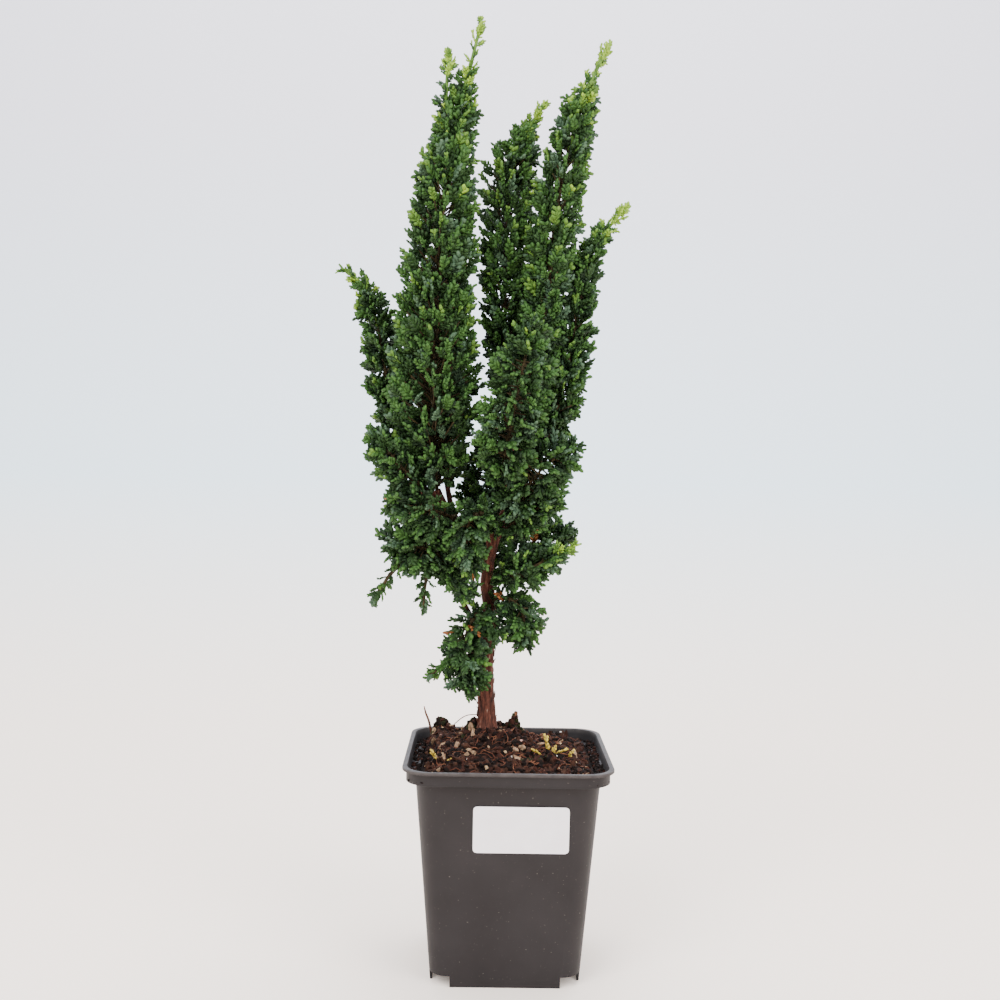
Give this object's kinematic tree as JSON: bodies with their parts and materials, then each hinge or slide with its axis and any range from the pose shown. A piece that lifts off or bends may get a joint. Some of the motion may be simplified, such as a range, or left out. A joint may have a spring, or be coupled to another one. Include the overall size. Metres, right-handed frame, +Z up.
{
  "type": "potted cypress bonsai",
  "caption": "Young upright hinoki cypress of sekka habit with tufted columns of short sprays, in a square plastic nursery pot of potting mix with a blank label.",
  "frame": {"origin": "centre of the pot's flat underside, at the level that it stands on", "axes": "+Z up along the plant, +X to the right and +Y away as seen from the labelled side"},
  "size_m": [0.1608, 0.114, 0.5139],
  "materials": {
    "nursery_pot_plastic": "matte moulded polypropylene, scuffed at the lip",
    "label_paper": "plain matte paper",
    "potting_mix": "rough, crumbly peat and bark",
    "bark": "peeling reddish-brown bark",
    "foliage": "matte scale leaves"
  },
  "bodies": {
    "root": {"pot": "nursery_pot_plastic", "label": "label_paper", "potting_mix": "potting_mix", "trunk": "bark", "lower_left_bough": "bark", "left_leader_bough": "bark", "right_leader_bough": "bark", "centre_leader_bough": "bark", "outer_right_bough": "bark", "front_bough": "bark", "back_right_bough": "bark", "left_lower_bough": "bark", "left_flank_bough": "bark", "outer_left_bough": "bark", "back_left_bough": "bark", "left_leader": "foliage", "centre_leader": "foliage", "right_leader": "foliage", "outer_right": "foliage", "outer_left": "foliage", "front_shoot": "foliage", "left_flank": "foliage", "left_lower": "foliage", "left_side": "foliage", "right_flank": "foliage", "right_lower": "foliage", "right_side": "foliage", "low_left": "foliage", "fork_tuft": "foliage", "low_right": "foliage", "trunk_right": "foliage", "trunk_left": "foliage", "back_left": "foliage", "back_right": "foliage", "back_low": "foliage", "back_left_low": "foliage", "back_right_low": "foliage"}
  },
  "joints": []
}
